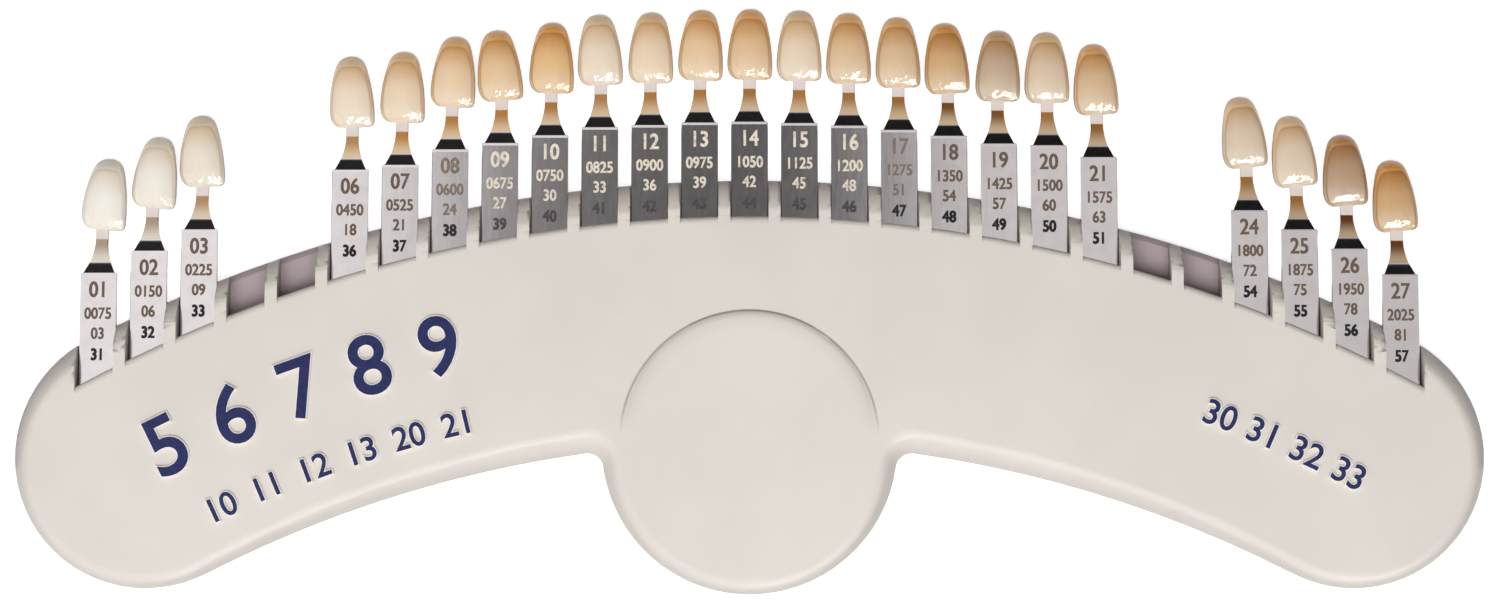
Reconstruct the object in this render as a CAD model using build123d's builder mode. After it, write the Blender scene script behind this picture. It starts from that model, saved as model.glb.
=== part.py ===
"""Dental shade guide: an arched two-part holder with 27 slots and 23 shade tabs.

The guide lies on its back. X runs along the arch, Y points to the teeth, Z out of the face.
The origin is on the back, under the centre of the round thumb pad. All sizes are in mm.
"""
import os
from math import asin, cos, degrees, radians, sin, sqrt

from build123d import *

# Outline of the holder: a ring sector with round ends and a round lobe below its middle
inner_r = 222.85           # lower edge of the arch
arch_w = 49.8              # width of the arch
arch_low_y = 0.85          # where the lower edge would cross the middle
end_angle = 27.3           # half the angle that the arch spans, in degrees
lobe_r = 27.9              # round lobe about the origin
neck_r = 3.0               # hollow fillet where lobe and arch meet

# Section of the holder
back_round = 1.8           # round of the rear edge
edge_z = 2.0               # height where the big front round starts
edge_r = 9.0               # big front round
crown_z = 10.7             # height of the face at its crown line
crown_out = 4.35           # how far the crown line lies above the arch
face_r = 760.0             # the face is domed to this radius, thinner towards the lobe
crease_r = 2.5             # softens the line where face and round meet
part_z = 4.0               # joint line of the two mouldings
side_wall = 3.4            # side walls, thick enough for the big round
roof_t = 2.4               # wall under the face
floor_t = 2.0              # rear wall of the back moulding

# Round thumb pad, which stands proud at its top and fades out into the face
pad_r = 24.9
pad_y = 0.7
pad_touch_y = -14.0        # the pad is parallel to the face here
pad_sink = 0.15            # how far it lies under the face there
pad_round = 2.0
pad_deep = 4.5             # how far the pad reaches into the wall

# Slots
slot_count = 27
slot_pitch = 9.46
strip_side_play = 0.1      # free space on each side of a strip
mouth_drop = 7.8           # the wall in front of the slots ends this far below the upper edge
mouth_round = 1.3
lead_in = 1.3              # bevel on the rear wall of the slots, along the arch
lead_depth = 0.8
seat_arc_up = 8.4          # the floors of the slots lie on an arc centred this far above the other
slot_floor_t = 2.6         # wall between the slots and the hollow below them
cut_over = 1.0             # how far a cut runs past the edge that it opens

# Locating pegs and their bosses inside the holder
peg_in = 13.05             # distance of the pegs from the lower edge
peg_angles = (-27.0, -18.5, -10.0, 10.0, 18.5, 27.0)
lobe_peg_y = -8.0
peg_r = 1.5
peg_h = 2.2
peg_foot_r = 2.8
peg_play = 0.1
boss_r = 3.6
boss_hole_extra = 0.3

# Steel stem of a tab, stamped and bent from one strip
strip_w = 7.0
strip_t = 1.0
strip_len = 34.0
slot_play = 0.3            # free space before and behind the strip
end_play = 0.3             # free space under the strip
strip_corner = 0.8
shoulder_out = 10.55       # the shoulder of a seated tab stands this far above the upper edge
shoulder_w = 6.1
shoulder_top_w = 3.9
shoulder_rise = 2.5
shoulder_back = 1.6
neck_w = 2.4
neck_hollow = 0.25         # half the extra width midway along the curved sides
neck_start = 6.3           # height above the shoulder where the neck is narrow
lean_rise = 7.1            # height above the shoulder where the lean ends
lean_back = 1.6
stem_h = 11.9              # height of the whole bent end above the shoulder
socket_h = 3.0             # length of the neck inside the tooth
bend_r = 0.7

# Tooth: rows of height above the biting edge, width, side thickness,
# bulge in front, bulge behind, shift to the front and shift to the sharper corner
tooth_rows = (
    (0.0, 6.0, 0.9, 0.5, 0.3, 0.05, 0.35),
    (0.8, 8.0, 1.2, 0.8, 0.4, 0.15, 0.25),
    (2.4, 8.65, 1.6, 1.2, 0.4, 0.45, 0.03),
    (6.3, 8.3, 2.1, 1.5, 0.5, 0.95, 0.0),
    (10.5, 6.85, 2.2, 1.5, 0.7, 0.95, 0.0),
    (12.65, 5.0, 1.6, 1.0, 0.6, 0.50, 0.0),
    (13.7, 2.6, 0.7, 0.4, 0.3, 0.05, 0.0),
)

# How far the tab in each slot stands above its seat. Slots 4, 5, 22 and 23 are empty.
tab_lift = {
    1: 0.3, 2: 0.0, 3: 0.0, 6: 1.6, 7: 0.0, 8: 0.8, 9: 0.2, 10: 0.2, 11: 0.6, 12: 0.2,
    13: 0.2, 14: 0.2, 15: 0.1, 16: 0.1, 17: 0.1, 18: 0.1, 19: 0.1, 20: 1.6, 21: 1.5,
    24: 0.0, 25: 0.0, 26: 0.4, 27: 0.0,
}

# Angle that the tooth in each slot leans to the right, in degrees
tooth_angle = {
    1: 6.0, 2: 6.0, 3: -1.3, 6: -1.7, 7: 1.5, 8: 3.5, 9: -4.5, 10: 1.0, 11: -2.0, 12: 1.0,
    13: 2.0, 14: 1.0, 15: 0.0, 16: -0.6, 17: -1.0, 18: -3.0, 19: 1.0, 20: -1.0, 21: -3.0,
    24: -6.0, 25: -6.0, 26: -4.0, 27: -5.0,
}

# Values that follow from the sizes above
outer_r = inner_r + arch_w
arc_centre_y = arch_low_y - inner_r
crown_y = arch_low_y + arch_w + crown_out
top_z = edge_z + edge_r
slot_w = strip_w + 2 * strip_side_play
mouth_r = outer_r - mouth_drop
seat_centre_y = arc_centre_y + seat_arc_up
shoulder_circle_r = outer_r + shoulder_out - seat_arc_up
peg_circle_r = inner_r + peg_in
strip_back_z = part_z + slot_play
slot_gap = strip_t + 2 * slot_play
neck_z = strip_back_z + strip_t / 2 - shoulder_back - lean_back
cavity_r = outer_r + shoulder_out - strip_len - end_play - slot_floor_t


def on_arch(radius, angle):
    """Point at a radius from the centre of the arch, at an angle from straight up."""
    return (radius * sin(radians(angle)), arc_centre_y + radius * cos(radians(angle)))


def slot_x(slot):
    return (slot - (slot_count + 1) / 2) * slot_pitch


def shoulder_y(slot):
    """Height of the shoulder of a seated tab."""
    return seat_centre_y + sqrt(shoulder_circle_r**2 - slot_x(slot) ** 2)


def slot_floor_y(slot):
    return shoulder_y(slot) - strip_len - end_play


def is_lip(edge):
    """True for the upper edge of the wall in front of a slot."""
    middle = edge @ 0.5
    radius = (middle - Vector(0, arc_centre_y, 0)).project_to_plane(Plane.XY).length
    return abs(radius - mouth_r) < 0.1 and middle.Z > crown_z - mouth_round and edge.length > slot_w / 2


peg_points = [on_arch(peg_circle_r, angle) for angle in peg_angles] + [(0, lobe_peg_y)]


def outline(inset):
    """Outline of the holder, moved inwards by inset."""
    low, high = inner_r + inset, outer_r - inset
    middle = (inner_r + outer_r) / 2
    # the round ends bulge half a turn past the last radius
    tip = (outer_r - inner_r) / 2 - inset
    with BuildSketch() as shape:
        with BuildLine():
            ThreePointArc(on_arch(high, -end_angle), on_arch(high, 0), on_arch(high, end_angle))
            ThreePointArc(on_arch(low, -end_angle), on_arch(low, 0), on_arch(low, end_angle))
            for side in (-1, 1):
                base_x, base_y = on_arch(middle, side * end_angle)
                out_x = base_x + side * tip * cos(radians(end_angle))
                out_y = base_y - tip * sin(radians(end_angle))
                ThreePointArc(
                    on_arch(high, side * end_angle), (out_x, out_y), on_arch(low, side * end_angle)
                )
        make_face()
        Circle(lobe_r - inset)
        necks = shape.vertices().filter_by(lambda v: abs(v.X) < 1.2 * lobe_r and v.Y < lobe_r / 2)
        fillet(necks, radius=neck_r + inset)
    return shape.sketch


def dome(depth):
    """Long roller whose upper surface is the domed face, moved down by depth."""
    with BuildPart() as roller:
        with BuildSketch(Plane.YZ):
            with Locations((crown_y, crown_z - face_r)):
                Circle(face_r - depth)
        extrude(amount=outer_r, both=True)
    return roller.part


def pillow():
    """Blank of the holder: upper edge with the big round, top domed."""
    with BuildPart() as blank:
        add(outline(0))
        extrude(amount=top_z)
        fillet(blank.edges().group_by(Axis.Z)[-1], radius=edge_r)
        add(dome(0), mode=Mode.INTERSECT)
    return blank.part


def arch_disc(radius, low_z, high_z):
    """Round disc about the centre of the arch."""
    with BuildPart() as disc:
        with BuildSketch(Plane.XY.offset(low_z)):
            with Locations((0, arc_centre_y)):
                Circle(radius)
        extrude(amount=high_z - low_z)
    return disc.part


def hollow(low_z, high_z, post_r):
    """Space inside one moulding, under the floors of the slots, with posts left standing in it."""
    with BuildPart() as space:
        with BuildSketch(Plane.XY.offset(low_z)):
            add(outline(side_wall))
        extrude(amount=high_z - low_z)
        add(dome(roof_t), mode=Mode.INTERSECT)
        add(arch_disc(cavity_r, 0, top_z), mode=Mode.INTERSECT)
        with BuildSketch(Plane.XY.offset(low_z)):
            with Locations(*peg_points):
                Circle(post_r)
        extrude(amount=high_z - low_z, mode=Mode.SUBTRACT)
    return space.part


def thumb_pad():
    """Flat round pad, tilted with the face."""
    tilt = asin((crown_y - pad_touch_y) / face_r)
    touch_z = crown_z - face_r + face_r * cos(tilt) - pad_sink
    pad_z = touch_z + (pad_y - pad_touch_y) * sin(tilt) / cos(tilt)
    top = Plane(origin=(0, pad_y, pad_z), x_dir=(1, 0, 0), z_dir=(0, -sin(tilt), cos(tilt)))
    with BuildPart() as pad:
        with BuildSketch(top.offset(-pad_deep)):
            Circle(pad_r)
        extrude(amount=pad_deep)
        fillet(pad.edges().group_by(Axis((0, 0, 0), (0, -sin(tilt), cos(tilt))))[-1], radius=pad_round)
    return pad.part


blank = pillow()
front_hollow = hollow(part_z, top_z, boss_r)
back_hollow = hollow(floor_t, part_z, peg_foot_r)

with BuildPart() as holder_front:
    add(blank)
    crease = holder_front.faces().sort_by(Axis.Z)[-1].edges()
    fillet(crease, radius=crease_r)
    add(thumb_pad())
    split(bisect_by=Plane.XY.offset(part_z), keep=Keep.TOP)
    add(front_hollow, mode=Mode.SUBTRACT)
    # holes in the bosses, for the pegs of the back moulding
    with BuildSketch(Plane.XY.offset(part_z)):
        with Locations(*peg_points):
            Circle(peg_r + peg_play)
    extrude(amount=peg_h + boss_hole_extra, mode=Mode.SUBTRACT)
    # narrow pockets that take the strips
    with BuildSketch(Plane.XY.offset(part_z)):
        for slot in range(1, slot_count + 1):
            low = slot_floor_y(slot)
            high = arc_centre_y + outer_r + cut_over
            with Locations((slot_x(slot), (low + high) / 2)):
                Rectangle(slot_w, high - low)
    extrude(amount=slot_gap, mode=Mode.SUBTRACT)
    # open mouths above the front wall, with the ribs left between them
    with BuildSketch(Plane.XY.offset(part_z)):
        for slot in range(1, slot_count + 1):
            high = arc_centre_y + outer_r + cut_over
            with Locations((slot_x(slot), high / 2)):
                Rectangle(slot_w, high)
        with Locations((0, arc_centre_y)):
            Circle(mouth_r, mode=Mode.SUBTRACT)
    extrude(amount=top_z, mode=Mode.SUBTRACT)
    lips = holder_front.edges().filter_by(is_lip)
    fillet(lips, radius=mouth_round)

with BuildPart() as holder_back:
    add(blank)
    split(bisect_by=Plane.XY.offset(part_z), keep=Keep.BOTTOM)
    fillet(holder_back.edges().group_by(Axis.Z)[0], radius=back_round)
    # bevel along the arch, which leads the strips into the slots
    last = asin((slot_x(slot_count) + slot_w / 2) / outer_r)
    start = Plane(
        origin=(0, arc_centre_y, part_z), x_dir=(sin(last), cos(last), 0), z_dir=(cos(last), -sin(last), 0)
    )
    with BuildSketch(start):
        with BuildLine():
            Polyline(
                (outer_r - lead_in, 0),
                (outer_r + lead_in, -2 * lead_depth),
                (outer_r + lead_in, 0),
                close=True,
            )
        make_face()
    revolve(axis=Axis((0, arc_centre_y, 0), (0, 0, 1)), revolution_arc=2 * degrees(last), mode=Mode.SUBTRACT)
    add(back_hollow, mode=Mode.SUBTRACT)
    with BuildSketch(Plane.XY.offset(part_z)):
        with Locations(*peg_points):
            Circle(peg_r)
    extrude(amount=peg_h)


def stem():
    """Steel strip, bent back at the shoulder, leaning back, and upright again inside the tooth.

    The shoulder lies on the X axis.
    """
    front_z = strip_back_z + strip_t
    with BuildPart() as part:
        with BuildSketch(Plane.YZ):
            with BuildLine():
                FilletPolyline(
                    (-strip_len, front_z),
                    (0, front_z),
                    (shoulder_rise, front_z - shoulder_back),
                    radius=bend_r,
                )
                Polyline(
                    (shoulder_rise, front_z - shoulder_back),
                    (lean_rise, front_z - shoulder_back - lean_back),
                    (stem_h, front_z - shoulder_back - lean_back),
                )
                offset(amount=strip_t, side=Side.RIGHT)
            make_face()
        extrude(amount=strip_w / 2, both=True)
        with BuildSketch():
            with BuildLine():
                for side in (-1, 1):
                    Polyline(
                        (0, -strip_len),
                        (side * strip_w / 2, -strip_len),
                        (side * strip_w / 2, 0),
                        (side * shoulder_w / 2, 0),
                        (side * shoulder_top_w / 2, shoulder_rise),
                    )
                    ThreePointArc(
                        (side * shoulder_top_w / 2, shoulder_rise),
                        (side * (neck_w / 2 + neck_hollow), (shoulder_rise + neck_start) / 2),
                        (side * neck_w / 2, neck_start),
                    )
                    Polyline((side * neck_w / 2, neck_start), (side * neck_w / 2, stem_h), (0, stem_h))
            make_face()
        extrude(amount=front_z, mode=Mode.INTERSECT)
        ends = part.edges().filter_by(Axis.Z).group_by(Axis.Y)[0]
        fillet(ends, radius=strip_corner)
    return part.part


def tooth():
    """Front tooth, biting edge down on the X axis, without its socket."""
    with BuildPart() as part:
        for height, width, side_t, front, back, shift, corner in tooth_rows:
            row = Plane(origin=(corner, height, neck_z + shift), x_dir=(1, 0, 0), z_dir=(0, -1, 0))
            side, half_t = width / 2, side_t / 2
            with BuildSketch(row):
                with BuildLine():
                    ThreePointArc((-side, half_t), (0, half_t + front), (side, half_t))
                    Line((side, half_t), (side, -half_t))
                    ThreePointArc((side, -half_t), (0, -half_t - back), (-side, -half_t))
                    Line((-side, -half_t), (-side, half_t))
                make_face()
        loft(ruled=True)
    return part.part


plain_stem = stem()
plain_tooth = tooth()

os.makedirs("parts", exist_ok=True)
holder_front.part.label = "holder_front"
export_step(holder_front.part, "parts/holder_front.step")
holder_back.part.label = "holder_back"
export_step(holder_back.part, "parts/holder_back.step")

for slot in tab_lift:
    x = slot_x(slot)
    y = shoulder_y(slot) + tab_lift[slot]
    edge_y = y + stem_h - socket_h
    with BuildPart() as shade_stem:
        with Locations((x, y, 0)):
            add(plain_stem)
    with BuildPart() as shade_tooth:
        with Locations((x, edge_y, 0)):
            add(plain_tooth, rotation=(0, 0, -tooth_angle[slot]))
        # the socket stays upright, as the neck does
        with BuildSketch(Plane.XZ.offset(-edge_y - socket_h)):
            with Locations((x, neck_z)):
                Rectangle(neck_w, strip_t)
        extrude(amount=2 * socket_h, mode=Mode.SUBTRACT)
    shade_stem.part.label = f"shade_stem_{slot:02d}"
    export_step(shade_stem.part, f"parts/shade_stem_{slot:02d}.step")
    shade_tooth.part.label = f"shade_tooth_{slot:02d}"
    export_step(shade_tooth.part, f"parts/shade_tooth_{slot:02d}.step")
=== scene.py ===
"""Looks of a dental shade guide: moulded holder, steel tabs and resin teeth, with stage and camera.

The packed frame gives the places. Lengths are in metres, X along the arch, Y to the teeth, Z out of the face.
"""
from math import asin, cos, pi, radians, sin, sqrt

import bmesh
import bpy
from bpy.props import FloatProperty, FloatVectorProperty, IntProperty, PointerProperty
from mathutils import Matrix, Vector


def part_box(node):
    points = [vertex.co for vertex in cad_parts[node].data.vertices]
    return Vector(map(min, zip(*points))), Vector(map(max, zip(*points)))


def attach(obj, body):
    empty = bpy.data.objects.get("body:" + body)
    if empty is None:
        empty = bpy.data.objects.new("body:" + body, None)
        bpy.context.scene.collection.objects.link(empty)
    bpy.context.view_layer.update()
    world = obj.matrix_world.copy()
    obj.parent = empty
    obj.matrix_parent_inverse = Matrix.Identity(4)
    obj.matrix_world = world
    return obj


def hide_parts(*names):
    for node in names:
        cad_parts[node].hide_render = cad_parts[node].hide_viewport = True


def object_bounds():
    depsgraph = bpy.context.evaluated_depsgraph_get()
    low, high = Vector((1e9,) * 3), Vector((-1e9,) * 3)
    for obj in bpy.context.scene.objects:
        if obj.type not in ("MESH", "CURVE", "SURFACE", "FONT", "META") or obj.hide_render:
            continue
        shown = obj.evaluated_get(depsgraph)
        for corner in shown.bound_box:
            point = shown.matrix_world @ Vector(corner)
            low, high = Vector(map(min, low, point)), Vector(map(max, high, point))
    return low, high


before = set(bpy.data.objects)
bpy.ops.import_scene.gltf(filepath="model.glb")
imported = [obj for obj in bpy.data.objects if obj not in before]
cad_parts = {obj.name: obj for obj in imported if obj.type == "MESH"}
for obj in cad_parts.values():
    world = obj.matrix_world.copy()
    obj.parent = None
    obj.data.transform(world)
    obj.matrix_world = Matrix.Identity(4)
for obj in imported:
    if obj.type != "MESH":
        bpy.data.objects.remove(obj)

bl_info = {
    "name": "Dental Shade Guide",
    "version": (1, 0, 0),
    "blender": (4, 5, 0),
    "location": "View3D > Sidebar > Shade Guide",
    "description": "Dresses the packed shade guide with plastic, steel and tooth resin",
    "category": "Object",
}

MM = 0.001
# height of a figure as a share of the size of its type
FIGURE_SHARE = 0.73
cad_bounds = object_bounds()

# Slot of each tab: lean of its tooth to the right in degrees, chroma and depth of its shade
SHADES = {
    1: (6.0, 0.03, 0.03),
    2: (6.0, 0.08, 0.05),
    3: (-1.3, 0.22, 0.08),
    6: (-1.7, 0.4, 0.0),
    7: (1.5, 0.55, 0.0),
    8: (3.5, 0.68, 0.0),
    9: (-4.5, 0.78, 0.03),
    10: (1.0, 0.92, 0.0),
    11: (-2.0, 0.4, 0.05),
    12: (1.0, 0.55, 0.02),
    13: (2.0, 0.75, 0.0),
    14: (1.0, 0.8, 0.1),
    15: (0.0, 0.5, 0.05),
    16: (-0.6, 0.75, 0.15),
    17: (-1.0, 0.75, 0.2),
    18: (-3.0, 0.95, 0.3),
    19: (1.0, 0.55, 0.55),
    20: (-1.0, 0.5, 0.25),
    21: (-3.0, 0.75, 0.25),
    24: (-6.0, 0.42, 0.27),
    25: (-6.0, 0.45, 0.22),
    26: (-4.0, 0.7, 0.7),
    27: (-5.0, 0.95, 0.35),
}


def linear(red, green, blue):
    """Scene colour of a display colour given from 0 to 255."""
    steps = [value / 255 for value in (red, green, blue)]
    return tuple(s / 12.92 if s <= 0.04045 else ((s + 0.055) / 1.055) ** 2.4 for s in steps)


def length(name, description, default):
    """Property for a size in metres."""
    return FloatProperty(name=name, description=description, default=default, unit="LENGTH", precision=5)


def colour(name, description, default):
    """Property for a colour."""
    return FloatVectorProperty(
        name=name, description=description, default=default, subtype="COLOR", min=0, max=1
    )


class HolderSettings(bpy.types.PropertyGroup):
    """Face and finish of the moulded holder."""

    crown_y: length("Crown line", "Place of the highest line of the domed face", 55 * MM)
    crown_z: length("Crown height", "Height of the face on its crown line", 10.7 * MM)
    face_radius: length("Face radius", "Radius of the domed face", 760 * MM)
    pad_radius: length("Pad radius", "Radius of the step round the thumb pad", 24.2 * MM)
    pad_y: length("Pad centre", "Place of the centre of the thumb pad", 0.7 * MM)
    arch_centre: length("Arch centre", "Place of the centre of the arch, below the lobe", -222.0 * MM)
    slot_radius: length("Slot radius", "Distance from the arch centre to the inside of the slots", 256.5 * MM)
    plastic: colour("Plastic", "Colour of the moulded plastic", linear(222, 215, 207))
    # painted shade: the plastic low down in the slots takes this greyer colour
    slot_grey: colour("Slot grey", "Dull plastic low down in the slots", linear(168, 150, 156))
    # painted shade in the step round the thumb pad
    step_dirt: colour("Step dirt", "Dirt in the step round the thumb pad", linear(104, 88, 84))
    ink: colour("Ink", "Colour on top of the raised numbers", linear(34, 40, 86))
    number_raise: length("Number raise", "How far the numbers stand above the face", 0.65 * MM)


class TabSettings(bpy.types.PropertyGroup):
    """Steel stem of a tab and the rows of numbers stamped on it."""

    strip_width: length("Strip width", "Width of the strip", 7.0 * MM)
    thickness: length("Thickness", "Thickness of the sheet", 1.0 * MM)
    edge: length("Edge", "Small bevel along the edges of the sheet", 0.12 * MM)
    bend: length("Bend radius", "Radius of the bends, at the middle of the sheet", 0.62 * MM)
    code_raise: length("Code raise", "How far the stamped numbers stand out", 0.06 * MM)
    steel: colour("Steel", "Colour of the polished steel", linear(226, 219, 220))
    # painted reflection: the neck colours below stand in for a reflection, browner for darker teeth
    pale_low: colour("Pale low tint", "Lower end of the neck on the palest shades", linear(214, 206, 196))
    pale_high: colour("Pale high tint", "Upper end of the neck on the palest shades", linear(166, 148, 130))
    tint_low: colour("Low tint", "Heat tint at the lower end of the neck", linear(214, 186, 152))
    tint_high: colour("High tint", "Heat tint at the upper end of the neck", linear(176, 124, 66))
    tint_dark: colour("Dark tint", "Upper end of the neck on the darkest shades", linear(112, 66, 34))
    # painted reflection: a matt whitish band on the upper end of the neck stands in for a facet that reflects
    # white
    resin: colour("Clear resin", "Resin on the end of the neck", linear(226, 214, 208))
    # painted light: this etching colour is a lighter copy for the tabs in the middle
    etch_pale: colour("Pale etching", "Figures on the tabs in the middle", linear(240, 230, 212))
    etch_dark: colour("Bronze etching", "Figures on the other tabs", linear(112, 94, 80))
    row_ink: colour("Row ink", "Ink of the lowest row", linear(44, 40, 42))
    # painted light: this ink is a lighter copy for the tabs in the middle
    worn_ink: colour("Worn ink", "Ink of the lowest row on the tabs in the middle", linear(116, 108, 108))


class ToothSettings(bpy.types.PropertyGroup):
    """Form and resin of the sample teeth."""

    height: length("Height", "Height of a tooth", 13.7 * MM)
    socket: length("Socket", "Length of the neck inside a tooth", 3.0 * MM)
    lobe_depth: length("Lobe depth", "Depth of the upright furrows in the front", 0.07 * MM)
    around: IntProperty(name="Around", description="Points around a tooth", default=56, min=16)
    rows: IntProperty(name="Rows", description="Rows of points from edge to root", default=44, min=12)
    ivory: colour("Ivory", "Shade without chroma or depth", linear(240, 236, 227))
    amber: colour("Amber", "Shade at full chroma", linear(222, 176, 112))
    umber: colour("Umber", "Shade at full depth", linear(150, 118, 92))
    biting_edge: colour("Biting edge", "Pale resin near the biting edge", linear(240, 232, 214))


class StageSettings(bpy.types.PropertyGroup):
    """Floor, light and camera."""

    floor_size: length("Floor size", "Side of the floor", 6.0)
    camera_distance: length("Camera distance", "From the middle of the guide to the camera", 0.78)
    camera_tilt: FloatProperty(
        name="Camera tilt",
        description="Turn of the camera towards the lobe",
        default=radians(7),
        subtype="ANGLE",
    )
    view_width: length("View width", "Width of the view in the plane of the face", 0.283)
    view_y: length("View height", "Place of the middle of the view above the pad", 27.3 * MM)
    ambient: FloatProperty(
        name="Ambient", description="Strength of the light all round", default=0.36, min=0
    )
    key: FloatProperty(
        name="Key", description="Power of the large lamp overhead", default=7.7, unit="POWER"
    )
    edge: FloatProperty(
        name="Edge", description="Power of the small lamp at the lobe's side", default=9.5, unit="POWER"
    )


class Wire:
    """One output socket of a shader tree. Arithmetic on it adds Math nodes."""

    def __init__(self, tree, socket):
        self.tree = tree
        self.socket = socket

    @classmethod
    def node(cls, tree, kind, settings=None, sockets=None, output=0):
        """Add a node, set its settings and then its sockets, and return an output, by number or name."""
        made = tree.nodes.new(kind)
        for name, value in (settings or {}).items():
            setattr(made, name, value)
        for key, value in (sockets or {}).items():
            if isinstance(value, cls):
                tree.links.new(value.socket, made.inputs[key])
            else:
                made.inputs[key].default_value = value
        return cls(tree, made.outputs[output])

    def maths(self, operation, *values):
        """Math node on these values, each a number or a wire."""
        return self.node(self.tree, "ShaderNodeMath", {"operation": operation}, dict(enumerate(values)))

    def __add__(self, other):
        return self.maths("ADD", self, other)

    __radd__ = __add__

    def __sub__(self, other):
        return self.maths("SUBTRACT", self, other)

    def __rsub__(self, other):
        return self.maths("SUBTRACT", other, self)

    def __mul__(self, other):
        return self.maths("MULTIPLY", self, other)

    __rmul__ = __mul__

    def __truediv__(self, other):
        return self.maths("DIVIDE", self, other)

    def at_least(self, other):
        return self.maths("MAXIMUM", self, other)

    def at_most(self, other):
        return self.maths("MINIMUM", self, other)

    def root(self):
        return self.maths("SQRT", self)

    def parts(self):
        """X, Y and Z of a vector."""
        return [
            self.node(self.tree, "ShaderNodeSeparateXYZ", None, {0: self}, output=index) for index in range(3)
        ]

    def smooth(self, low, high):
        """0 below low, 1 above high, eased between them."""
        return self.node(
            self.tree,
            "ShaderNodeMapRange",
            {"interpolation_type": "SMOOTHSTEP"},
            {"Value": self, "From Min": low, "From Max": high},
        )

    def mix(self, first, second):
        """Colour that goes from first to second as this value goes from 0 to 1."""
        # a mix node has like-named sockets for each kind of data, so these go by number
        factor, first_colour, second_colour, result = 0, 6, 7, 2
        sockets = {factor: self}
        for key, value in ((first_colour, first), (second_colour, second)):
            sockets[key] = value if isinstance(value, Wire) else (*value, 1.0)
        return self.node(self.tree, "ShaderNodeMix", {"data_type": "RGBA"}, sockets, output=result)


def new_material(name):
    """Empty node material, its tree and the output node."""
    material = bpy.data.materials.new(name)
    material.use_nodes = True
    tree = material.node_tree
    tree.nodes.clear()
    return material, tree, tree.nodes.new("ShaderNodeOutputMaterial")


def finish_surface(tree, output, sockets):
    """Principled shader on the output, with these sockets."""
    surface = Wire.node(tree, "ShaderNodeBsdfPrincipled", None, sockets)
    tree.links.new(surface.socket, output.inputs["Surface"])


def times(shade, factor):
    """Colour times a factor, with no part above 1."""
    return tuple(min(1.0, factor * part) for part in shade)


def stored(tree, name):
    """Number that the mesh carries at its points."""
    return Wire.node(tree, "ShaderNodeAttribute", {"attribute_name": name}, output="Fac")


def object_place(tree):
    """Object coordinates."""
    return Wire.node(tree, "ShaderNodeTexCoord", output="Object")


def ray_is(tree, kind):
    """1 for rays of a kind, such as Camera or Glossy, and 0 for all others."""
    return Wire.node(tree, "ShaderNodeLightPath", output=f"Is {kind} Ray")


def grain(tree, scale, stretch=(1, 1, 1), detail=2.0, seed=0.0):
    """Noise on object coordinates, in cycles per metre, with its mean at 0.5."""
    sockets = {"Vector": object_place(tree), "Scale": stretch, "Location": (seed, 0, 0)}
    place = Wire.node(tree, "ShaderNodeMapping", None, sockets)
    return Wire.node(tree, "ShaderNodeTexNoise", None, {"Vector": place, "Scale": scale, "Detail": detail})


def bump(tree, height, strength, distance):
    sockets = {"Height": height, "Strength": strength, "Distance": distance}
    return Wire.node(tree, "ShaderNodeBump", None, sockets)


def plastic_material(settings):
    """Satin plastic with a very fine grain, with painted shade low in the slots and in the step round the
    thumb pad.
    """
    material, tree, output = new_material("holder_plastic")
    cloud = grain(tree, 60.0).smooth(0.3, 0.7)
    pale = tuple(settings.plastic)
    shade = cloud.mix(times(pale, 0.975), times(pale, 1.015))
    x, y, z = object_place(tree).parts()
    up = y - settings.arch_centre
    from_arch = (x * x + up * up).root()
    # painted shade low down in the slots, where the front lip shades the rear wall
    slot_start = settings.slot_radius
    slot_shade_mask = from_arch.smooth(slot_start, slot_start + 2 * MM) * (1 - z.smooth(4.5 * MM, 8.5 * MM))
    shade = (0.8 * slot_shade_mask).mix(shade, tuple(settings.slot_grey))
    # painted shade: a dark line and a soft shadow in the step round the upper half of the thumb pad
    up = y - settings.pad_y
    from_pad = (x * x + up * up).root()
    step = settings.pad_radius
    line = from_pad.smooth(step - 0.4 * MM, step) * (1 - from_pad.smooth(step, step + 0.4 * MM))
    soft = from_pad.smooth(step - 4 * MM, step) * (1 - from_pad.smooth(step, step + 0.3 * MM))
    upper = up.smooth(0.0, 8 * MM) * z.smooth(8 * MM, 9 * MM)
    step_shade = upper * (0.6 * line).at_least(0.14 * soft)
    shade = step_shade.mix(shade, tuple(settings.step_dirt))
    fine = grain(tree, 2600.0, detail=3.0)
    finish_surface(
        tree,
        output,
        {
            "Base Color": shade,
            "Roughness": 0.42 + 0.08 * fine,
            "Specular IOR Level": 0.3,
            "Normal": bump(tree, fine, 0.25, 0.04 * MM),
        },
    )
    return material


def ink_material(settings):
    """Dark printed colour with a soft sheen."""
    material, tree, output = new_material("number_ink")
    speck = grain(tree, 900.0)
    dark = tuple(settings.ink)
    shade = speck.smooth(0.35, 0.65).mix(times(dark, 0.85), times(dark, 1.15))
    finish_surface(
        tree, output, {"Base Color": shade, "Roughness": 0.34 + 0.1 * speck, "Specular IOR Level": 0.25}
    )
    return material


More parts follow.
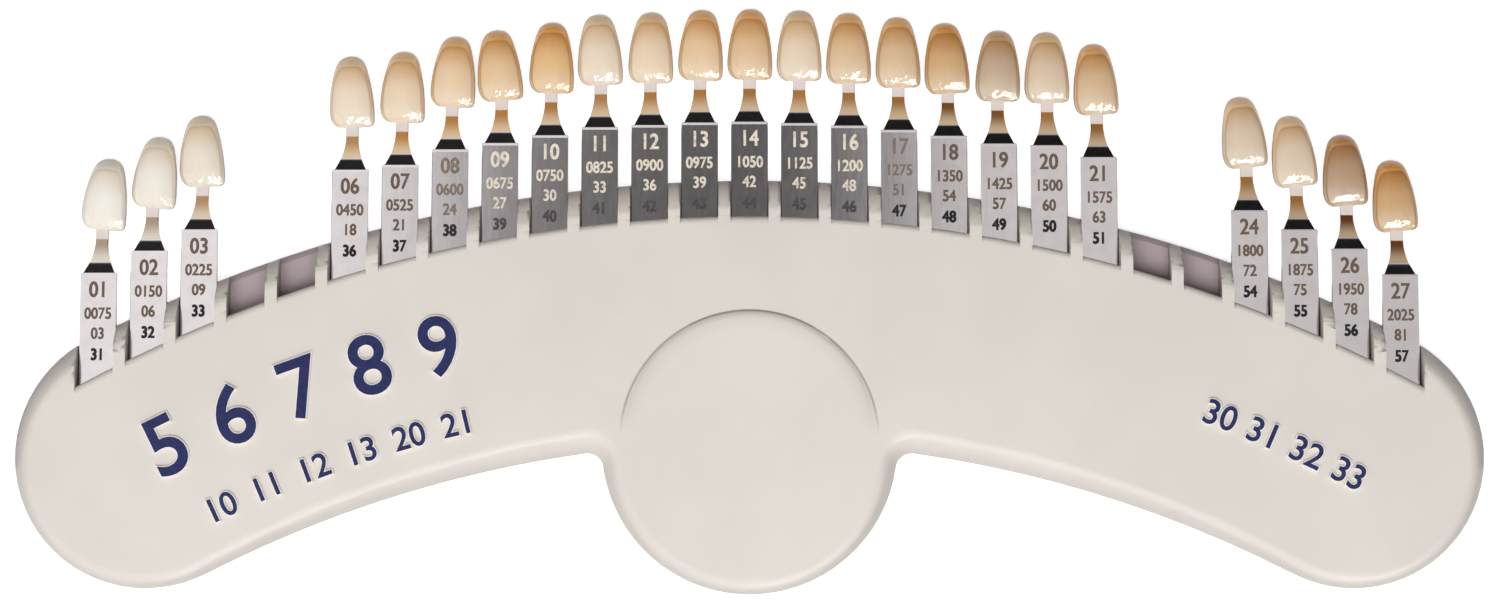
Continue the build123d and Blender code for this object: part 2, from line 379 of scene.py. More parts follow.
def steel_material(settings):
    """Brushed strip steel, with a painted reflection on the neck and a painted white reflection on its upper
    end.
    """
    material, tree, output = new_material("stem_steel")
    rise = stored(tree, "rise")
    fired = stored(tree, "fired")
    brushed = grain(tree, 1500.0, stretch=(1.0, 0.12, 1.0), detail=4.0)
    stain = grain(tree, 420.0, detail=3.0)
    bare = tuple(settings.steel)
    steel = stain.smooth(0.25, 0.75).mix(times(bare, 0.93), bare)
    # painted reflection on the neck, pale on the palest shades and browner on darker ones
    upper = fired.smooth(0.0, 0.6).mix(tuple(settings.pale_high), tuple(settings.tint_high))
    upper = fired.smooth(0.75, 1.5).mix(upper, tuple(settings.tint_dark))
    lower = fired.smooth(0.0, 0.5).mix(tuple(settings.pale_low), tuple(settings.tint_low))
    # the rises are heights above the shoulder in mm
    tint = rise.smooth(2.6, 6.2).mix(lower, upper)
    on_neck = rise.smooth(2.35, 2.55)
    # painted reflection: the upper end of the neck is a matt whitish band, not steel
    white_reflection = rise.smooth(6.95, 7.1)
    finish_surface(
        tree,
        output,
        {
            "Base Color": white_reflection.mix(on_neck.mix(steel, tint), tuple(settings.resin)),
            "Metallic": 1 - white_reflection,
            "Roughness": 0.07 + 0.05 * brushed + 0.2 * white_reflection,
            "Normal": bump(tree, brushed, 0.06, 0.02 * MM),
        },
    )
    return material


def figure_material(settings):
    """Etched figures in bronze with a dark lowest row, both painted lighter on the tabs in the middle as
    painted light.
    """
    material, tree, output = new_material("stamped_figures")
    pale = stored(tree, "pale")
    inked = stored(tree, "inked")
    worn = grain(tree, 1100.0, detail=2.0)
    # painted light: a lighter copy of the figures' colour for the tabs in the middle
    etched = pale.mix(tuple(settings.etch_dark), tuple(settings.etch_pale))
    etched = (worn.smooth(0.45, 0.75) * 0.35).mix(etched, times(settings.etch_dark, 0.6))
    # painted light: the lowest row is lighter on the tabs in the middle
    ink = (0.6 * pale).mix(tuple(settings.row_ink), tuple(settings.worn_ink))
    finish_surface(
        tree,
        output,
        {
            "Base Color": inked.mix(etched, ink),
            "Metallic": 0.1,
            "Roughness": 0.42 + 0.1 * worn,
            "Specular IOR Level": 0.3,
        },
    )
    return material


def resin_shades(settings, chroma, depth):
    """Colours of one tooth: body, root, cap, biting edge, veil over its border, and a dark outline of painted
    shade for its edges.
    """
    body = []
    for ivory, amber, umber in zip(settings.ivory, settings.amber, settings.umber):
        body.append((ivory * (1 - chroma) + amber * chroma) * (1 - depth) + umber * depth)
    strength = min(1.0, 0.25 + 0.8 * chroma + 0.2 * depth)
    # red, green and blue that the root loses at full strength
    root_loss = (0.22, 0.50, 0.85)
    root = tuple(part * (1 - loss * strength) for part, loss in zip(body, root_loss))
    # the cap's factors on red, green and blue, and what they lose at full strength; the cap is a paler layer
    # of the tooth, and the lift also paints light on its rounded top, which lies in shade
    cap_lift = ((1.41, 0.0), (1.44, 0.38), (1.48, 0.89))
    cap = [part * (lift - loss * strength) for part, (lift, loss) in zip(body, cap_lift)]
    cap = times(cap, min(1.0, 0.95 / max(cap)))
    edge = tuple(0.62 * part + 0.38 * pale for part, pale in zip(body, settings.biting_edge))
    return body, root, cap, edge, times(edge, 0.80), times(cap, 0.30)


def tooth_material(settings, slot, chroma, depth):
    """Layered resin: saturated towards the root, paler at the cap and the biting edge."""
    material, tree, output = new_material(f"tooth_shade_{slot:02d}")
    body, root, cap, edge, veil, outline = resin_shades(settings, chroma, depth)
    rise = stored(tree, "rise")
    side = stored(tree, "side")
    streak = grain(tree, 700.0, stretch=(1.0, 0.14, 1.0), detail=3.0, seed=slot * 0.37)
    cloud = grain(tree, 230.0, detail=2.0, seed=slot * 0.61)
    level = rise + 0.06 * (streak - 0.5) + 0.10 * (cloud - 0.5)
    shade = level.smooth(0.04, 0.42).mix(edge, body)
    shade = level.smooth(0.42, 0.85).mix(shade, root)
    # a paler layer shows round the coloured core: a cap at the root and a border down both sides
    across = side * side * 1.30
    upward = rise * rise * 1.54
    shell = across * across * across + upward * upward * upward
    layer = rise.smooth(0.1, 0.75).mix(veil, cap)
    core_edge = shell.smooth(0.45, 0.95) * (1 - shell.smooth(0.95, 1.3)) * 0.8
    in_layer = shell.smooth(0.98, 1.12) * (0.45 + 0.55 * rise.smooth(0.3, 0.8))
    seam = shell.smooth(0.80, 1.0) * (1 - shell.smooth(1.0, 1.3)) * (0.15 + 0.4 * rise.smooth(0.5, 0.8))
    shade = core_edge.mix(shade, root)
    shade = in_layer.mix(shade, layer)
    shade = seam.mix(shade, times(root, 0.8))
    # painted shade: a dark outline down both sides and over the top, where the tooth turns away
    rim = (side * side).smooth(0.88, 1.0).at_least(0.6 * rise.smooth(0.985, 1.0)) * 0.75
    # short uneven ridges break up the shine near the biting edge
    ridges = grain(tree, 700.0, stretch=(1.0, 0.45, 1.0), detail=3.0, seed=slot * 0.83)
    ridges = ridges * (1 - rise.smooth(0.14, 0.35))
    finish_surface(
        tree,
        output,
        {
            "Base Color": rim.mix(shade, outline),
            "Roughness": 0.06 + 0.14 * rise,
            "Specular IOR Level": 0.55,
            "Subsurface Weight": 0.22,
            "Subsurface Radius": (1.0 * MM, 0.8 * MM, 0.6 * MM),
            "Subsurface Scale": 1.0,
            "Normal": bump(tree, 0.4 * streak + 3.2 * ridges, 0.5, 0.2 * MM),
        },
    )
    return material


def floor_material():
    """Floor that looks white to the camera and to shiny things, and still takes a soft shadow."""
    material, tree, output = new_material("floor")
    seen, mirrored, passed = (ray_is(tree, kind) for kind in ("Camera", "Glossy", "Transmission"))
    lit = Wire.node(tree, "ShaderNodeBsdfDiffuse", None, {"Color": (0.75, 0.75, 0.75, 1)})
    dim = Wire.node(tree, "ShaderNodeBsdfDiffuse", None, {"Color": (0.2, 0.165, 0.18, 1)})
    glow = Wire.node(tree, "ShaderNodeEmission", None, {"Color": (1, 1, 1, 1), "Strength": 0.72})
    white = Wire.node(tree, "ShaderNodeAddShader", None, {0: lit, 1: glow})
    factor = seen.at_least(mirrored.at_least(passed))
    mixed = Wire.node(tree, "ShaderNodeMixShader", None, {0: factor, 1: dim, 2: white})
    tree.links.new(mixed.socket, output.inputs["Surface"])
    return material


def add_piece(name, mesh, body, material):
    """Object at the origin that rides on a body."""
    piece = bpy.data.objects.new(name, mesh)
    bpy.context.scene.collection.objects.link(piece)
    mesh.materials.clear()
    mesh.materials.append(material)
    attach(piece, body)
    return piece


def shade_by_angle(mesh, angle):
    """Smooth shading with sharp edges above an angle in degrees."""
    mesh.shade_smooth()
    mesh.set_sharp_from_angle(angle=radians(angle))


def smooth_copy(node, angle):
    """Merged copy of a CAD node's mesh, shaded smooth, with its flat faces kept flat."""
    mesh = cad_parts[node].data.copy()
    work = bmesh.new()
    work.from_mesh(mesh)
    bmesh.ops.remove_doubles(work, verts=work.verts, dist=2e-6)
    work.to_mesh(mesh)
    work.free()
    shade_by_angle(mesh, angle)
    carrier = bpy.data.objects.new("carrier", mesh)
    bpy.context.scene.collection.objects.link(carrier)
    weighted = carrier.modifiers.new("weighted", "WEIGHTED_NORMAL")
    weighted.keep_sharp = True
    weighted.weight = 100
    return baked(carrier)


def baked(carrier):
    """Mesh of an object with its modifiers applied. The object is removed."""
    graph = bpy.context.evaluated_depsgraph_get()
    mesh = bpy.data.meshes.new_from_object(carrier.evaluated_get(graph), depsgraph=graph)
    mesh.transform(carrier.matrix_world)
    bpy.data.objects.remove(carrier)
    return mesh


def tab_slots():
    """Slot numbers of the tabs in the packed frame, checked against the shades."""
    found = sorted(int(name[-2:]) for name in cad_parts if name.startswith("shade_tooth_"))
    if found != sorted(SHADES):
        raise RuntimeError("the shades don't match the tabs of the packed frame")
    return found


def body_of_tab(slot):
    return f"tab_{slot:02d}"


def stem_place(slot):
    """Middle of a stem across, top of its neck, and its lowest and highest Z."""
    low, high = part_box(f"shade_stem_{slot:02d}")
    return (low.x + high.x) / 2, high.y, low.z, high.z


def rounded_path(corners, radius, steps):
    """Points of a line with rounded corners, each with the direction of the line there."""
    points = []
    for index, corner in enumerate(corners):
        here = Vector(corner)
        if index in (0, len(corners) - 1):
            other = Vector(corners[1] if index == 0 else corners[-2])
            way = (other - here) if index == 0 else (here - other)
            points.append((here, way.normalized()))
            continue
        before = (here - Vector(corners[index - 1])).normalized()
        after = (Vector(corners[index + 1]) - here).normalized()
        turn = before.angle_signed(after)
        reach = radius * abs(sin(turn / 2) / cos(turn / 2))
        start = here - before * reach
        # the centre of the round lies on the inner side of the corner
        inward = Vector((before.y, -before.x)) * (1 if turn > 0 else -1)
        centre = start + inward * radius
        for step in range(steps + 1):
            part = turn * step / steps
            spin = Matrix.Rotation(-part, 2)
            points.append((centre + spin @ (start - centre), spin @ before))
    return points


def ring_mesh(name, rings, attributes=None):
    """Closed mesh from rings of equally many points, the first and last filled."""
    mesh = bpy.data.meshes.new(name)
    count = len(rings[0])
    points = [point for ring in rings for point in ring]
    faces = []
    for row in range(len(rings) - 1):
        for step in range(count):
            follow = (step + 1) % count
            low, high = row * count, (row + 1) * count
            faces.append((low + step, low + follow, high + follow, high + step))
    faces.append(tuple(reversed(range(count))))
    faces.append(tuple(range((len(rings) - 1) * count, len(rings) * count)))
    mesh.from_pydata(points, [], faces)
    for title, values in (attributes or {}).items():
        layer = mesh.attributes.new(title, "FLOAT", "POINT")
        layer.data.foreach_set("value", values)
    work = bmesh.new()
    work.from_mesh(mesh)
    bmesh.ops.recalc_face_normals(work, faces=work.faces)
    work.to_mesh(mesh)
    work.free()
    return mesh


def between(stops, place):
    """Smooth value at a place on a profile of (place, value) stops."""
    if place <= stops[0][0]:
        return stops[0][1]
    if place >= stops[-1][0]:
        return stops[-1][1]
    index = max(i for i in range(len(stops) - 1) if stops[i][0] <= place)

    def slope(i):
        low, high = max(i - 1, 0), min(i + 1, len(stops) - 1)
        return (stops[high][1] - stops[low][1]) / (stops[high][0] - stops[low][0])

    (start, first), (end, second) = stops[index], stops[index + 1]
    span = end - start
    t = (place - start) / span
    return (
        (1 + 2 * t) * (1 - t) ** 2 * first
        + t * (1 - t) ** 2 * span * slope(index)
        + t * t * (3 - 2 * t) * second
        + t * t * (t - 1) * span * slope(index + 1)
    )


class ShadeGuideHolder(bpy.types.Operator):
    """Dress both mouldings of the holder"""

    bl_idname = "shade_guide.holder"
    bl_label = "Holder mouldings"

    def execute(self, context):
        plastic = plastic_material(context.scene.guide_holder)
        for node in ("holder_front", "holder_back"):
            piece = add_piece(f"{node}_moulding", smooth_copy(node, 32), "holder", plastic)
            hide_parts(node)
        return {"FINISHED"}


class ShadeGuideStems(bpy.types.Operator):
    """Make the bent steel stem of every tab"""

    bl_idname = "shade_guide.stems"
    bl_label = "Steel stems"

    # lengths along the strip and heights above its shoulder, in mm
    strip_length = 34.0
    foot_corner = 0.8
    shoulder_rise = 2.5
    neck_start = 6.3
    lean_rise = 7.1
    stem_height = 11.9
    # half widths, in mm
    shoulder_half = 3.05
    shoulder_top_half = 1.95
    neck_half = 1.2
    # heights of the three bends above the shoulder, in mm, and how far forward the second lies,
    # as a share of the way from the neck to the strip
    bends = (-0.15, 2.28, 7.02)
    second_forward = 0.516

    def half_width(self, rise, strip):
        """Half the width of a stem at a height above its shoulder, in mm."""
        corner = self.foot_corner
        if rise < 0:
            foot = self.strip_length + rise
            cut = corner - sqrt(max(0.0, corner**2 - (corner - foot) ** 2)) if foot < corner else 0.0
            return strip / 2 - cut
        if rise < self.shoulder_rise:
            taper = self.shoulder_top_half - self.shoulder_half
            return self.shoulder_half + taper * rise / self.shoulder_rise
        if rise < self.neck_start:
            t = (rise - self.shoulder_rise) / (self.neck_start - self.shoulder_rise)
            return self.shoulder_top_half + (self.neck_half - self.shoulder_top_half) * (1 - (1 - t) ** 1.6)
        return self.neck_half

    def rises(self):
        """Heights of the rings, closer at the corners of the foot and on the neck."""
        steps = [step - self.strip_length for step in (0, 0.05, 0.2, 0.45, self.foot_corner)]
        steps += [-30.0, -20.0, -10.0, -1.0, -0.5]
        steps += [-0.34, -0.29, -0.24, -0.19, -0.14, -0.09, -0.05, -0.02, 0.02, 0.1]
        steps += [self.shoulder_rise * part / 4 for part in range(1, 5)]
        steps += [self.shoulder_rise + 0.38 * part for part in range(1, 11)]
        return steps + [6.7, self.lean_rise, 7.5, 8.4, 10.0, self.stem_height]

    def section(self, half, settings):
        """Corners of the sheet's section, as places across and out of its middle plane, in mm."""
        edge = settings.edge / MM
        face = 0.5 * settings.thickness / MM
        right = [(half - edge, face), (half, face - edge), (half, edge - face), (half - edge, -face)]
        left = [(-across, out) for across, out in reversed(right)]
        return right + left

    def middle_line(self, settings, top_z, low_z):
        """Middle line of the sheet: strip, shoulder, neck and upright end, with round bends, in mm."""
        first, second, third = self.bends
        corners = [
            (-self.strip_length, top_z),
            (first, top_z),
            (second, low_z + self.second_forward * (top_z - low_z)),
            (third, low_z),
            (self.stem_height, low_z),
        ]
        return rounded_path(corners, settings.bend / MM, 5)

    def on_line(self, line, rise):
        """Height and direction of the middle line at a height above the shoulder."""
        for (start, first), (end, second) in zip(line, line[1:]):
            if start.x <= rise <= end.x and end.x > start.x:
                t = (rise - start.x) / (end.x - start.x)
                way = (first * (1 - t) + second * t).normalized()
                return start.y + (end.y - start.y) * t, way
        return line[-1][0].y, line[-1][1]

    def execute(self, context):
        settings = context.scene.guide_tab
        steel = steel_material(settings)
        half_sheet = 0.5 * settings.thickness / MM
        strip = settings.strip_width / MM
        for slot in tab_slots():
            middle, high_y, low_z, high_z = stem_place(slot)
            place = Vector((middle, high_y - self.stem_height * MM, 0))
            line = self.middle_line(settings, high_z / MM - half_sheet, low_z / MM + half_sheet)
            rings, rise_values = [], []
            for rise in self.rises():
                z, way = self.on_line(line, rise)
                ring = []
                for across, out in self.section(self.half_width(rise, strip), settings):
                    ring.append(place + Vector((across, rise - way.y * out, z + way.x * out)) * MM)
                rings.append(ring)
                rise_values += [rise] * len(ring)
            # the painted reflection on the neck is browner for darker shades
            chroma, depth = SHADES[slot][1:]
            fired = chroma + 1.2 * depth
            attributes = {"rise": rise_values, "fired": [fired] * len(rise_values)}
            mesh = ring_mesh(f"stem_{slot:02d}", rings, attributes)
            shade_by_angle(mesh, 30)
            piece = add_piece(f"tab_stem_{slot:02d}", mesh, body_of_tab(slot), steel)
            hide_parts(f"shade_stem_{slot:02d}")
        return {"FINISHED"}


class ShadeGuideCodes(bpy.types.Operator):
    """Stamp four rows of plain numbers on every tab"""

    bl_idname = "shade_guide.codes"
    bl_label = "Tab numbers"

    # middle of each row below the shoulder and height of its figures, in mm, and how bold it is
    rows = ((3.1, 3.05, 0.12), (7.6, 2.2, 0.10), (11.4, 2.2, 0.10), (15.4, 2.2, 0.15))
    # the figures are narrower than the type
    narrow = 0.86
    # rows further than this below the shoulder are inked, in mm
    ink_start = 13.5

    def build_tree(self, font):
        """Rows of figures that are filled, raised and given a rounded edge."""
        tree = bpy.data.node_groups.new("stamped_rows", "GeometryNodeTree")
        face = tree.interface
        face.new_socket("Geometry", in_out="OUTPUT", socket_type="NodeSocketGeometry")
        names = {}
        for index in range(len(self.rows)):
            names[f"Figures {index + 1}"] = "NodeSocketString"
            names[f"Height {index + 1}"] = "NodeSocketFloat"
            names[f"Place {index + 1}"] = "NodeSocketVector"
            names[f"Bold {index + 1}"] = "NodeSocketFloat"
        names["Raise"] = "NodeSocketFloat"
        names["Narrow"] = "NodeSocketFloat"
        names["Material"] = "NodeSocketMaterial"
        for name, kind in names.items():
            face.new_socket(name, in_out="INPUT", socket_type=kind)
        entry = tree.nodes.new("NodeGroupInput")
        join = tree.nodes.new("GeometryNodeJoinGeometry")
        for index in range(len(self.rows)):
            self.add_row(tree, entry, join, font, index + 1)
        realize = tree.nodes.new("GeometryNodeRealizeInstances")
        paint = tree.nodes.new("GeometryNodeSetMaterial")
        leave = tree.nodes.new("NodeGroupOutput")
        tree.links.new(join.outputs[0], realize.inputs[0])
        tree.links.new(realize.outputs[0], paint.inputs["Geometry"])
        tree.links.new(entry.outputs["Material"], paint.inputs["Material"])
        tree.links.new(paint.outputs[0], leave.inputs[0])
        return tree

    def add_row(self, tree, entry, join, font, number):
        """Nodes for one row."""
        links = tree.links
        write = tree.nodes.new("GeometryNodeStringToCurves")
        write.align_x = "CENTER"
        write.align_y = "MIDDLE"
        write.font = font
        links.new(entry.outputs[f"Figures {number}"], write.inputs["String"])
        links.new(entry.outputs[f"Height {number}"], write.inputs["Size"])
        loose = tree.nodes.new("GeometryNodeRealizeInstances")
        links.new(write.outputs[0], loose.inputs[0])
        scale = tree.nodes.new("ShaderNodeCombineXYZ")
        links.new(entry.outputs["Narrow"], scale.inputs["X"])
        scale.inputs["Y"].default_value = 1
        scale.inputs["Z"].default_value = 1
        narrow = tree.nodes.new("GeometryNodeTransform")
        links.new(loose.outputs[0], narrow.inputs["Geometry"])
        links.new(scale.outputs[0], narrow.inputs["Scale"])
        coarse = tree.nodes.new("GeometryNodeSetSplineResolution")
        coarse.inputs["Resolution"].default_value = 3
        links.new(narrow.outputs[0], coarse.inputs[0])
        # raised face with its walls and a flipped base below
        fill = tree.nodes.new("GeometryNodeFillCurve")
        links.new(coarse.outputs[0], fill.inputs[0])
        raised = tree.nodes.new("GeometryNodeExtrudeMesh")
        raised.inputs["Individual"].default_value = False
        links.new(fill.outputs[0], raised.inputs["Mesh"])
        links.new(entry.outputs["Raise"], raised.inputs["Offset Scale"])
        base = tree.nodes.new("GeometryNodeFlipFaces")
        links.new(fill.outputs[0], base.inputs[0])
        # round bead that follows the outline of the figures
        profile = tree.nodes.new("GeometryNodeCurvePrimitiveCircle")
        profile.inputs["Resolution"].default_value = 6
        links.new(entry.outputs[f"Bold {number}"], profile.inputs["Radius"])
        bead = tree.nodes.new("GeometryNodeCurveToMesh")
        links.new(coarse.outputs[0], bead.inputs["Curve"])
        links.new(profile.outputs[0], bead.inputs["Profile Curve"])
        closed = tree.nodes.new("GeometryNodeJoinGeometry")
        links.new(raised.outputs[0], closed.inputs[0])
        links.new(base.outputs[0], closed.inputs[0])
        merge = tree.nodes.new("GeometryNodeMergeByDistance")
        merge.inputs["Distance"].default_value = 1e-4
        links.new(closed.outputs[0], merge.inputs[0])
        row = tree.nodes.new("GeometryNodeJoinGeometry")
        links.new(merge.outputs[0], row.inputs[0])
        links.new(bead.outputs[0], row.inputs[0])
        # the figures are drawn in millimetres and set down in metres
        move = tree.nodes.new("GeometryNodeTransform")
        links.new(row.outputs[0], move.inputs["Geometry"])
        links.new(entry.outputs[f"Place {number}"], move.inputs["Translation"])
        move.inputs["Scale"].default_value = (MM, MM, MM)
        links.new(move.outputs[0], join.inputs[0])

    def figures(self, slot):
        """Text of the four rows: the slot number and plain multiples and sums of it."""
        return f"{slot:02d}", f"{slot * 75:04d}", f"{slot * 3:02d}", f"{slot + 30:02d}"

    def stamp(self, context, tree, slot, inputs):
        """Mesh of the four rows of a tab."""
        carrier = bpy.data.objects.new("carrier", bpy.data.meshes.new("carrier"))
        context.scene.collection.objects.link(carrier)
        modifier = carrier.modifiers.new("rows", "NODES")
        modifier.node_group = tree
        identifiers = {
            item.name: item.identifier for item in tree.interface.items_tree if item.in_out == "INPUT"
        }
        for name, value in inputs.items():
            modifier[identifiers[name]] = value
        carrier.update_tag()
        mesh = baked(carrier)
        if not mesh.polygons:
            raise RuntimeError(f"the numbers of tab {slot} came out empty")
        mesh.name = f"code_{slot:02d}"
        shade_by_angle(mesh, 50)
        return mesh

    def execute(self, context):
        settings = context.scene.guide_tab
        paint = figure_material(settings)
        letters = bpy.data.curves.new("letters", "FONT")
        tree = self.build_tree(letters.font)
        for slot in tab_slots():
            middle, high_y, _, high_z = stem_place(slot)
            shoulder = high_y - ShadeGuideStems.stem_height * MM
            inputs = {"Raise": settings.code_raise / MM, "Narrow": self.narrow, "Material": paint}
            for number, (text, row) in enumerate(zip(self.figures(slot), self.rows), 1):
                down, height, bold = row
                inputs[f"Figures {number}"] = text
                inputs[f"Height {number}"] = height / FIGURE_SHARE
                inputs[f"Place {number}"] = (middle, shoulder - down * MM, high_z)
                inputs[f"Bold {number}"] = bold
            mesh = self.stamp(context, tree, slot, inputs)
            # painted light: the figures take lighter colours on the tabs near the middle of the arch
            ink_line = shoulder - self.ink_start * MM
            inked = mesh.attributes.new("inked", "FLOAT", "POINT")
            inked.data.foreach_set("value", [float(vertex.co.y < ink_line) for vertex in mesh.vertices])
            pale = mesh.attributes.new("pale", "FLOAT", "POINT")
            lit_share = min(1.0, max(0.0, (4.6 - abs(slot - 12.5)) / 0.8))
            pale.data.foreach_set("value", [lit_share] * len(mesh.vertices))
            add_piece(f"tab_code_{slot:02d}", mesh, body_of_tab(slot), paint)
        return {"FINISHED"}


class ShadeGuideTeeth(bpy.types.Operator):
    """Make the resin tooth of every tab"""

    bl_idname = "shade_guide.teeth"
    bl_label = "Resin teeth"

    # half widths, depths and offset of the middle over the height above the biting edge, all in mm
    left = ((0.0, 2.5), (0.25, 3.05), (0.7, 3.6), (1.5, 4.05), (2.6, 4.26), (4.0, 4.26), (6.9, 3.98),
            (9.6, 3.45), (11.7, 2.85), (12.7, 2.3), (13.3, 1.65), (13.6, 1.0), (13.7, 0.45))
    right = ((0.0, 3.2), (0.18, 3.75), (0.5, 4.1), (1.0, 4.26), (2.2, 4.32), (4.1, 4.25), (6.9, 3.95),
             (9.6, 3.43), (11.7, 2.85), (12.7, 2.3), (13.3, 1.65), (13.6, 1.0), (13.7, 0.45))
    front = ((0.0, 0.45), (0.3, 0.80), (0.8, 1.25), (2.4, 1.95), (6.3, 2.50), (10.5, 2.55), (12.3, 2.0),
             (13.3, 1.2), (13.7, 0.45))
    back = ((0.0, 0.45), (0.3, 0.70), (0.8, 0.95), (2.4, 1.15), (6.3, 1.50), (10.5, 1.75), (12.3, 1.35),
            (13.3, 0.9), (13.7, 0.35))
    shift = ((0.0, 0.05), (0.8, 0.15), (2.4, 0.45), (6.3, 0.95), (10.5, 0.95), (12.65, 0.5), (13.7, 0.05))
    # how round the section is in depth and across: 1 is an ellipse, less is flatter with rounder sides
    depth_power = 0.85
    width_power = 0.9
    # height where the upright furrows in the front end, in mm
    furrow_end = 9.0

    def point(self, angle, up, furrow_depth):
        """Point of the tooth's skin at an angle round it and a height above the edge, in mm."""
        across, out = cos(angle), sin(angle)
        width = between(self.right if across > 0 else self.left, up)
        bow = abs(out) ** self.depth_power
        thick = between(self.front if out > 0 else self.back, up)
        x = width * (abs(across) ** self.width_power) * (1 if across > 0 else -1)
        z = thick * bow * (1 if out > 0 else -1)
        if out > 0:
            furrow = 0.5 + 0.5 * cos(3.1 * pi * x / max(width, 0.1))
            z -= furrow_depth * furrow * bow * max(0.0, 1 - up / self.furrow_end)
        return Vector((x, up, z + between(self.shift, up))), x / max(width, 0.01)

    def tooth_mesh(self, settings, slot, place):
        """Closed skin of a tooth, which carries its rise and its share across at every point."""
        height = settings.height / MM
        rings, rise_values, side_values = [], [], []
        for row in range(settings.rows + 1):
            # rows lie closer at both ends
            part = row / settings.rows
            up = height * (0.5 - 0.5 * cos(pi * part)) * 0.75 + height * part * 0.25
            ring = []
            for step in range(settings.around):
                point, side = self.point(2 * pi * step / settings.around, up, settings.lobe_depth / MM)
                ring.append(place @ (point * MM))
                rise_values.append(up / height)
                side_values.append(side)
            rings.append(ring)
        return ring_mesh(f"tooth_{slot:02d}", rings, {"rise": rise_values, "side": side_values})

    def execute(self, context):
        settings = context.scene.guide_tooth
        half_sheet = context.scene.guide_tab.thickness / 2
        for slot in tab_slots():
            lean, chroma, depth = SHADES[slot]
            middle, high_y, low_z, _ = stem_place(slot)
            seat = Matrix.Translation((middle, high_y - settings.socket, low_z + half_sheet))
            mesh = self.tooth_mesh(settings, slot, seat @ Matrix.Rotation(radians(-lean), 4, "Z"))
            mesh.shade_smooth()
            resin = tooth_material(settings, slot, chroma, depth)
            name = f"tab_tooth_{slot:02d}"
            piece = add_piece(name, mesh, body_of_tab(slot), resin)
            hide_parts(f"shade_tooth_{slot:02d}")
        return {"FINISHED"}


class ShadeGuideNumbers(bpy.types.Operator):
    """Raise plain numbers on the face, set on arcs like the figures of a dial"""

    bl_idname = "shade_guide.numbers"
    bl_label = "Face numbers"

    # numbers, height, radius of the arc, first and last angle and how bold, in mm and degrees
    rows = (
        ((5, 6, 7, 8, 9), 11.5, 246.5, -26.2, -13.6, 1.0),
        ((10, 11, 12, 13, 20, 21), 4.6, 232.0, -25.2, -13.6, 0.45),
        ((30, 31, 32, 33), 4.8, 243.5, 21.2, 27.4, 0.45),
    )
    # the boldest figures are wider by this on each side of a stroke
    bold_offset = 0.2 * MM
    # a plastic base stands out round the ink and reaches down through the domed face
    base_border = 0.16 * MM
    base_depth = 0.3 * MM
    ink_thick = 0.06 * MM
    ink_lift = 0.02 * MM

    def figure(self, text, size, grow, thick):
        """Flat figure that is given a thickness, centred on its own middle."""
        curve = bpy.data.curves.new("figure", "FONT")
        curve.body = text
        curve.align_x = "CENTER"
        curve.align_y = "CENTER"
        curve.size = size / FIGURE_SHARE
        curve.offset = grow
        curve.extrude = thick / 2
        curve.resolution_u = 6
        carrier = bpy.data.objects.new("figure", curve)
        bpy.context.scene.collection.objects.link(carrier)
        bpy.context.view_layer.update()
        return baked(carrier)

    def face_place(self, settings, radius, angle):
        """Matrix from a figure's own plane to its place on the domed face."""
        x = radius * sin(angle)
        y = settings.arch_centre + radius * cos(angle)
        away = settings.crown_y - y
        z = settings.crown_z - settings.face_radius + sqrt(settings.face_radius**2 - away**2)
        tilt = asin(away / settings.face_radius)
        return Matrix.Translation((x, y, z)) @ Matrix.Rotation(tilt, 4, "X") @ Matrix.Rotation(-angle, 4, "Z")

    def execute(self, context):
        settings = context.scene.guide_holder
        plastic = bpy.data.materials.get("holder_plastic") or plastic_material(settings)
        ink = ink_material(settings)
        tall = settings.number_raise
        for index, (numbers, height, radius, first, last, bold) in enumerate(self.rows, 1):
            base, top = bmesh.new(), bmesh.new()
            grow = bold * self.bold_offset
            for order, number in enumerate(numbers):
                angle = radians(first + (last - first) * order / (len(numbers) - 1))
                place = self.face_place(settings, radius * MM, angle)
                for layer, border, thick, up in (
                    (base, self.base_border, self.base_depth + tall, (tall - self.base_depth) / 2),
                    (top, 0.0, self.ink_thick, tall + self.ink_lift),
                ):
                    mesh = self.figure(str(number), height * MM, grow + border, thick)
                    mesh.transform(place @ Matrix.Translation((0, 0, up)))
                    layer.from_mesh(mesh)
                    bpy.data.meshes.remove(mesh)
            for layer, name, paint in ((base, "number_base", plastic), (top, "number_top", ink)):
                bmesh.ops.recalc_face_normals(layer, faces=layer.faces)
                mesh = bpy.data.meshes.new(f"{name}_{index}")
                layer.to_mesh(mesh)
                layer.free()
                shade_by_angle(mesh, 40)
                add_piece(f"{name}_{index}", mesh, "holder", paint)
        return {"FINISHED"}


